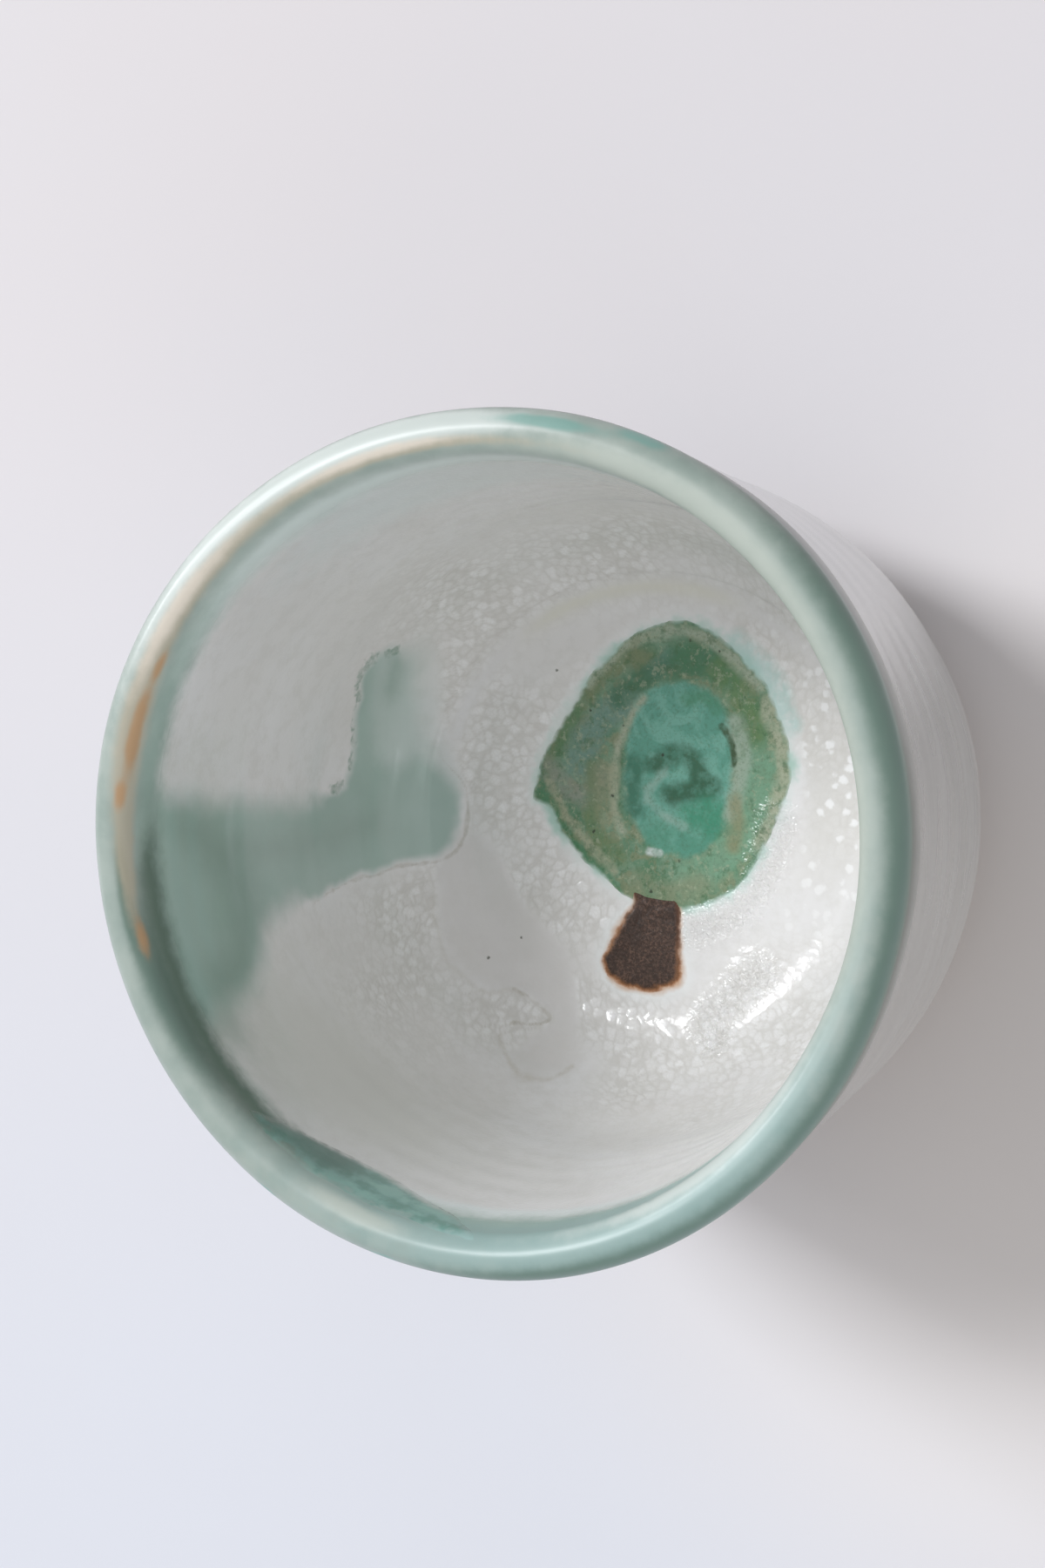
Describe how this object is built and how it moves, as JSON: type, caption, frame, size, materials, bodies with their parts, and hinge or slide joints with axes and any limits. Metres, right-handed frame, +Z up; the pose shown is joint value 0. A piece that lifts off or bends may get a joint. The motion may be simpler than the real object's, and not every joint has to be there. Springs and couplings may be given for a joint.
{
  "type": "drinking cup",
  "caption": "Hand-thrown glazed stoneware cup without a handle: upright round wall, rounded lip, foot ring, and coloured glaze pooled on the floor inside.",
  "frame": {"origin": "centre of the foot ring, on the surface that the cup stands on", "axes": "+Z up along the cup's axis towards the lip; the splash inside is on the +Y side"},
  "size_m": [0.085, 0.085, 0.073],
  "materials": {
    "bare_clay": "matt",
    "white_glaze": "gloss",
    "grey_glaze": "gloss",
    "celadon_glaze": "gloss",
    "copper_green_glaze": "gloss",
    "turquoise_glaze": "gloss",
    "iron_brown_glaze": "satin"
  },
  "bodies": {
    "root": {"clay_body": "bare_clay", "liner_glaze": "white_glaze", "outer_glaze": "grey_glaze", "rim_glaze": "celadon_glaze", "pool_glaze": "copper_green_glaze", "pool_centre": "turquoise_glaze", "iron_patch": "iron_brown_glaze", "splash_glaze": "celadon_glaze", "lip_run": "turquoise_glaze"}
  },
  "joints": []
}
